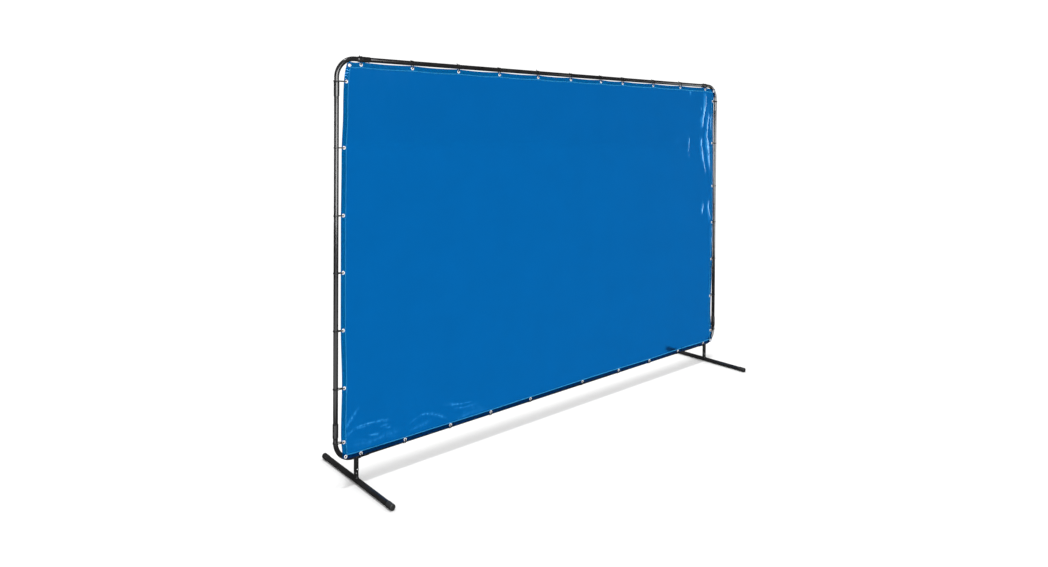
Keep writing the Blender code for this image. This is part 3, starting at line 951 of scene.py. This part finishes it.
def sheet_lines():
    """Places of the grid's columns and rows, close together where the sheet has detail."""
    ring = 0.005
    rim = (0.0025, EYELET_INSET - ring, EYELET_INSET, EYELET_INSET + ring, HEM)
    columns = [-SHEET_HALF, SHEET_HALF]
    rows = [0.0, SHEET_LENGTH]
    for name, (u, v) in EYELETS.items():
        if "corner" in name:
            continue
        if "left" in name or "right" in name:
            rows += [v - ring, v, v + ring]
        else:
            columns += [u - ring, u, u + ring]
    for d in rim:
        columns += [d - SHEET_HALF, SHEET_HALF - d]
        rows += [d, SHEET_LENGTH - d]
    columns = filled(columns, lambda u: 0.006 if SHEET_HALF - abs(u) < 0.03 else 0.016)
    rows = filled(rows, lambda v: 0.0031 if 0.02 < v < 0.09 else
                  (0.006 if min(v, SHEET_LENGTH - v) < 0.03 else 0.016))
    return np.array(columns), np.array(rows)


def flat_grid():
    """The flat sheet as a bmesh in (u, v), with its eyelet holes cut and creased parts finer."""
    columns, rows = sheet_lines()
    flat = bmesh.new()
    grid = [[flat.verts.new((u, v, 0)) for u in columns] for v in rows]
    holes = set()
    for u, v in EYELETS.values():
        i = int(np.argmin(abs(rows - v)))
        j = int(np.argmin(abs(columns - u)))
        holes |= {(i - 1, j - 1), (i - 1, j), (i, j - 1), (i, j)}
        around = [(1, 0), (1, 1), (0, 1), (-1, 1), (-1, 0), (-1, -1), (0, -1), (1, -1)]
        for k, (di, dj) in enumerate(around):
            angle = math.pi / 2 - math.pi / 4 * k
            grid[i + di][j + dj].co = (u + HOLE_R * math.cos(angle), v + HOLE_R * math.sin(angle), 0)
    for i in range(len(rows) - 1):
        for j in range(len(columns) - 1):
            if (i, j) not in holes:
                flat.faces.new((grid[i][j], grid[i][j + 1], grid[i + 1][j + 1], grid[i + 1][j]))
    loose = [vert for vert in flat.verts if not vert.link_faces]
    bmesh.ops.delete(flat, geom=loose, context="VERTS")
    for reach, size in ((3.2, 0.009), (2.6, 0.0045)):
        centres = np.array([face.calc_center_median()[:2] for face in flat.faces])
        near = crease_field(centres[:, 0], centres[:, 1])[2] < reach
        edges = {
            edge
            for face, wanted in zip(flat.faces, near) if wanted
            for edge in face.edges if edge.calc_length() > size
        }
        bmesh.ops.subdivide_edges(flat, edges=list(edges), cuts=1, use_grid_fill=True)
    return flat


def film_mesh(name, flat, keep, offset):
    """A closed film over the flat faces that are kept, moved back by an offset."""
    points = np.array([vert.co[:2] for vert in flat.verts])
    flat.verts.index_update()
    hung = hang(points[:, 0], points[:, 1])
    hung[:, 1] += offset(points[:, 0], points[:, 1])
    faces = [[vert.index for vert in face.verts] for face in flat.faces
             if keep(face.calc_center_median())]
    used = sorted({i for face in faces for i in face})
    renumber = {old: new for new, old in enumerate(used)}
    mesh = bpy.data.meshes.new(name)
    mesh.from_pydata(hung[used].tolist(), [], [[renumber[i] for i in face] for face in faces])
    # The crease paleness, whitening of the folded film and painted highlight, that the film's
    # material adds to its colour.
    stress_and_highlight = mesh.attributes.new("stress_and_highlight", "FLOAT", "POINT")
    stress_and_highlight.data.foreach_set("value", crease_field(points[used, 0], points[used, 1])[1])
    skin = new_object("skin", mesh)
    solid = skin.modifiers.new("thickness", "SOLIDIFY")
    solid.thickness = FILM
    solid.offset = 0.0
    closed = applied(skin)
    closed.name = name
    return closed


def edge_distance(u, v):
    return np.minimum(np.minimum(SHEET_HALF - np.abs(u), v), SHEET_LENGTH - v)


def hem_offset(u, v):
    """The folded-back layer meets the sheet along its edge and lies behind it elsewhere."""
    t = np.clip(edge_distance(u, v) / 0.0025, 0, 1)
    return HEM_LIFT * np.sqrt(1 - (1 - t) ** 2)


def zigzag_line():
    """Flat places along the seam, turning from side to side."""
    half, top, bottom = SHEET_HALF - SEAM_IN, SEAM_IN, SHEET_LENGTH - SEAM_IN
    corners = [(-half, top), (half, top), (half, bottom), (-half, bottom), (-half, top)]
    line = []
    for (u0, v0), (u1, v1) in zip(corners, corners[1:]):
        length = math.hypot(u1 - u0, v1 - v0)
        count = 2 * round(length / STITCH / 2)
        du, dv = (u1 - u0) / length, (v1 - v0) / length
        for k in range(count):
            sway = ZIGZAG if k % 2 else -ZIGZAG
            t = length * k / count
            line.append((u0 + du * t - dv * sway, v0 + dv * t + du * sway))
    return np.array(line)


def stitches(shape, behind):
    """A zigzag thread along the seam, on the front of the sheet or behind its hem."""
    line = zigzag_line()
    points = hang(line[:, 0], line[:, 1])
    radius = BACK_THREAD_R if behind else THREAD_R
    if behind:
        points[:, 1] += HEM_LIFT + FILM / 2 + radius * 0.45
    else:
        points[:, 1] -= FILM / 2 + radius * 0.45
    sides = 5
    ahead = np.roll(points, -1, axis=0) - np.roll(points, 1, axis=0)
    ahead /= np.linalg.norm(ahead, axis=1)[:, None]
    across = np.cross(ahead, (0, 1, 0))
    across /= np.linalg.norm(across, axis=1)[:, None]
    up = np.cross(across, ahead)
    rings = []
    for k in range(sides):
        angle = math.tau * k / sides
        rings.append(points + radius * (across * math.cos(angle) + up * math.sin(angle)))
    rings = np.stack(rings, axis=1)
    shape.loft([[Vector(p) for p in ring] for ring in rings], loop=True)


def eyelet_frame(u, v):
    """An eyelet's middle and its outward axis, toward the front."""
    step = 0.005
    us = np.array([u, u - step, u + step, u, u])
    vs = np.array([v, v, v, v - step, v + step])
    here, left, right, above, below = (Vector(p) for p in hang(us, vs))
    front = (right - left).cross(above - below).normalized()
    return here, front if front.y < 0 else -front


def eyelet(name, u, v):
    """A rolled eyelet: a domed flange in front, a barrel through the film and a washer behind."""
    here, front = eyelet_frame(u, v)
    film_front = FILM / 2
    film_back = -(HEM_LIFT + FILM / 2)
    profile = [
        *arc(FRONT_ROLL_R, film_front, ROLL_HALF, FRONT_ROLL_RISE, 0, 180, 8),
        (BARREL_R, film_front - 0.0006),
        (BARREL_R, film_back + 0.0004),
        *arc(BACK_ROLL_R, film_back, ROLL_HALF, BACK_ROLL_RISE, 180, 360, 8),
        (0.00800, film_back + 0.0001),
        (0.00500, film_back + 0.0002),
        (0.00480, film_front - 0.0002),
    ]
    shape = Shape()
    turned(shape, profile, here, front, 32)
    return piece(name, shape.mesh(name), "eyelet_nickel", crisp=60)


def curtain():
    flat = flat_grid()
    everywhere = film_mesh("curtain", flat, lambda centre: True, lambda u, v: 0.0 * u)
    sheet = piece("curtain", everywhere, "blue_pvc", ["curtain"], crisp=50)
    hem_mesh = film_mesh(
        "curtain_hem", flat, lambda c: edge_distance(c.x, c.y) < HEM - 1e-4, hem_offset)
    hem = piece("curtain_hem", hem_mesh, "hem_pvc", crisp=50)
    flat.free()
    thread = Shape()
    stitches(thread, behind=False)
    stitches(thread, behind=True)
    seam = piece("curtain_seam", thread.mesh("curtain_seam"), "seam_thread", crisp=80)
    rings = [eyelet(name, u, v) for name, (u, v) in EYELETS.items()]
    for item in (sheet, hem):
        item.visible_diffuse = False


# Cable ties.

def belt(circles, steps=40):
    """Points and outward directions round a set of (p, q, radius) circles."""
    def outermost(angle):
        return max(circles, key=lambda c: c[0] * math.cos(angle) + c[1] * math.sin(angle) + c[2])

    def rim(ring, angle):
        p, q, radius = ring
        return (p + radius * math.cos(angle), q + radius * math.sin(angle), angle)

    line = []
    turn = math.tau / steps
    for step in range(steps):
        angle = step * turn
        here, following = outermost(angle), outermost(angle + turn)
        line.append(rim(here, angle))
        if following != here:
            p, q = following[0] - here[0], following[1] - here[1]
            spread = math.acos((here[2] - following[2]) / math.hypot(p, q))
            either = (math.atan2(q, p) + spread, math.atan2(q, p) - spread)
            touching = max(either, key=lambda a: math.cos(a - angle - turn / 2))
            line += [rim(here, touching), rim(following, touching)]
    return line


def box_rings(sections, corner):
    """Rounded rectangles (centre, across, up, half width, half height) as rings of 8 points."""
    rings = []
    for centre, across, up, half_w, half_h in sections:
        w, h = half_w - corner, half_h - corner
        outline = [(half_w, -h), (half_w, h), (w, half_h), (-w, half_h),
                   (-half_w, h), (-half_w, -h), (-w, -half_h), (w, -half_h)]
        rings.append([centre + across * a + up * b for a, b in outline])
    return rings


def cable_tie(name, circles, head_angle, tail_length, origin, p_axis, q_axis):
    """A strap round the circles, with its head and a cut tail standing off it."""
    width_axis = p_axis.cross(q_axis)
    shape = Shape()
    sections = []
    for p, q, angle in belt(circles):
        outward = p_axis * math.cos(angle) + q_axis * math.sin(angle)
        centre = origin + p_axis * p + q_axis * q + outward * (TIE_SLACK + TIE_THICKNESS / 2)
        sections.append((centre, width_axis, outward, TIE_WIDTH / 2, TIE_THICKNESS / 2))
    shape.loft(box_rings(sections, 0.00035), loop=True)

    post = circles[0]
    outward = p_axis * math.cos(head_angle) + q_axis * math.sin(head_angle)
    ahead = width_axis.cross(outward)
    foot = origin + p_axis * post[0] + q_axis * post[1] + outward * (post[2] + TIE_SLACK)
    half_w, half_h = TIE_HEAD_HALF
    rows = ((0.0002, 0.0006), (0.0006, 0.0), (0.0040, 0.0), (TIE_HEAD_RISE, 0.0005))
    head = [
        (foot + outward * rise, width_axis, ahead, half_w - inset, half_h - inset)
        for rise, inset in rows
    ]
    rings = box_rings(head, 0.0007)
    shape.loft(rings, start=head[0][0], end=head[-1][0])

    length = tail_length + 0.0035 * RANDOM.random()
    lean = (RANDOM.random() - 0.5) * 0.5
    tail = []
    teeth = 8
    for k in range(teeth * 2 + 1):
        t = k / (teeth * 2)
        rise = TIE_HEAD_RISE - 0.0002 + length * t
        centre = foot + outward * rise + ahead * (lean * length * t * t)
        thick = TIE_THICKNESS / 2 * (1.0 if k % 2 else 0.78)
        tail.append((centre, width_axis, ahead, TIE_WIDTH / 2, thick))
    shape.loft(box_rings(tail, 0.0003), start=tail[0][0], end=tail[-1][0])
    piece(name, shape.mesh(name), "nylon", [name], crisp=40)


def post_radius(distance):
    """The outside of the frame at a distance along a leg from a corner."""
    on_socket = SOCKET_START - TIE_WIDTH < distance < SOCKET_END + TIE_WIDTH
    return SOCKET_R if on_socket else TUBE_R


def bend_shift(distance):
    into_bend = max(BEND_R - distance, 0.0)
    return BEND_R - math.sqrt(BEND_R ** 2 - into_bend ** 2)


def ties():
    fold = TIE_TURN + TIE_SLACK
    for name, (u, v) in EYELETS.items():
        if "corner" in name:
            continue
        tie = name.replace("eyelet", "tie")
        where = Vector(hang(np.array([u]), np.array([v]))[0])
        rail = (0.0, 0.0, post_radius(POST_X - abs(where.x)))
        if "_top_" in name:
            ring = (where.y, where.z - HIGH_Z + fold, TIE_TURN)
            cable_tie(tie, [rail, ring], math.radians(50), 0.0060,
                      Vector((where.x, 0, HIGH_Z)), AXIS_Y, AXIS_Z)
        elif "_bottom_" in name:
            ring = (where.y, where.z - LOW_Z - fold, TIE_TURN)
            edge = (where.y, where.z - LOW_Z - EYELET_INSET - TIE_TURN / 2, TIE_TURN)
            cable_tie(tie, [rail, ring, edge], math.radians(-35), 0.0040,
                      Vector((where.x, 0, LOW_Z)), AXIS_Y, AXIS_Z)
        else:
            sign = -1 if "left" in name else 1
            from_corner = min(HIGH_Z - where.z, where.z - LOW_Z)
            post = (bend_shift(from_corner), 0.0, post_radius(from_corner))
            ring = (sign * (sign * POST_X - where.x) - fold, where.y, TIE_TURN)
            cable_tie(tie, [post, ring], math.radians(75), 0.0030,
                      Vector((sign * POST_X, 0, where.z)), AXIS_X * -sign, AXIS_Y)


# Floor, world and lights.

def floor():
    mesh = bpy.data.meshes.new("floor")
    corners = [(x * FLOOR_HALF, y * FLOOR_HALF, 0)
               for x, y in ((-1, -1), (1, -1), (1, 1), (-1, 1))]
    mesh.from_pydata(corners, [], [(0, 1, 2, 3)])
    made = new_object("floor", mesh)
    pale = (0.82, 0.82, 0.82)
    paint = look("floor_paint", pale, 0.9, Specular_IOR_Level=0.0)
    vary_colour(paint, noise(paint, 1.3, 3.0), [(0.3, shade(pale, 0.99)), (0.7, pale)])
    mesh.materials.append(paint)
    made.visible_glossy = False


def world():
    """White to the eye and through the film, softer as light, and dim in reflections."""
    made = bpy.data.worlds.new("studio")
    bpy.context.scene.world = made
    made.use_nodes = True
    nodes, links = made.node_tree.nodes, made.node_tree.links
    path = nodes.new("ShaderNodeLightPath")

    def step(operation, a, b):
        maths = nodes.new("ShaderNodeMath")
        maths.operation = operation
        for socket, value in zip(maths.inputs, (a, b)):
            if isinstance(value, float):
                socket.default_value = value
            else:
                links.new(value, socket)
        return maths.outputs[0]

    through = path.outputs["Is Transmission Ray"]
    mirrored = step("MULTIPLY", path.outputs["Is Glossy Ray"], step("SUBTRACT", 1.0, through))
    seen = step("MAXIMUM", path.outputs["Is Camera Ray"], through)
    light = step("ADD", WORLD_LIGHT, step("MULTIPLY", seen, WORLD_SEEN - WORLD_LIGHT))
    strength = step("ADD", light, step("MULTIPLY", mirrored, WORLD_GLOSS - WORLD_LIGHT))
    links.new(strength, nodes["Background"].inputs["Strength"])
    nodes["Background"].inputs["Color"].default_value = (1, 1, 1, 1)


def softbox(name, receivers, place, target, width, height, brightness):
    """A light that only shows in reflections, and only in the pieces that receive it."""
    data = bpy.data.lights.new(name, "AREA")
    if receivers is FILM_LIT:
        data.shape = "ELLIPSE"
        data.color = (0.62, 0.86, 1.0)
    else:
        data.shape = "RECTANGLE"
    data.size = width
    data.size_y = height
    data.energy = brightness * width * height * math.pi
    made = new_object(name, data)
    facing = (Vector(target) - Vector(place)).to_track_quat("-Z", "Y")
    made.matrix_world = Matrix.Translation(place) @ facing.to_matrix().to_4x4()
    made.visible_camera = False
    made.visible_diffuse = False
    made.visible_transmission = False
    made.light_linking.receiver_collection = receivers


def lights():
    softbox("wall_front", FRAME_LIT, (-2.3, -5.4, 2.6), (-1.5, 0, 1.9), 4.4, 3.6, 11.0)
    softbox("wall_left", FRAME_LIT, (-5.3, -4.6, 2.6), (-1.5, 0, 1.9), 1.5, 3.6, 14.0)
    softbox("wall_right", FRAME_LIT, (6.2, -0.9, 1.4), (1.2, 0, 1.2), 3.0, 2.6, 1.4)
    softbox("wall_back", RAISED_LIT, (-0.9, 6.0, 1.45), (-0.7, 0, 1.2), 4.2, 2.0, 3.8)
    softbox("post_back", RIGHT_POST_LIT, (-2.0, 5.0, 1.2), (1.5, 0, 1.0), 4.0, 4.4, 14.0)
    softbox("post_front", RIGHT_POST_LIT, (3.0, -5.5, 1.2), (1.5, 0, 1.0), 7.5, 4.4, 9.0)
    softbox("glow_low", POSTS_LIT, (-2.9, -2.6, 0.03), (-2.898, -2.598, 1.0), 4.0, 5.0, 1.7)
    softbox("film_front", FILM_LIT, (-0.6, -4.7, 2.3), (0, 0, 1.4), 2.8, 2.4, 1.0)
    softbox("film_high", FILM_LIT, (1.6, -4.7, 3.7), (0, 0, 1.0), 2.8, 2.0, 16.0)
    softbox("film_right", FILM_LIT, (6.2, -0.9, 1.2), (1.2, 0, 1.0), 2.4, 2.4, 3.6)
    softbox("film_back", FILM_LIT, (1.0, 5.5, 2.2), (0, 0, 1.0), 3.0, 2.6, 2.5)
    data = bpy.data.lights.new("overhead", "SUN")
    data.energy = 1.25
    data.angle = math.radians(3.2)
    made = new_object("overhead", data)
    made.light_linking.blocker_collection = SUN_SHADOWS
    lean_back, lean_right = math.radians(2.2), math.radians(-3.5)
    made.matrix_world = (
        Matrix.Rotation(lean_back, 4, "X") @ Matrix.Rotation(lean_right, 4, "Y"))


set_camera()
elbows()
uprights()
rails()
feet()
caps()
snap_buttons()
curtain()
ties()
floor()
world()
lights()

bpy.context.scene.view_settings.view_transform = "Standard"
bpy.context.view_layer.update()
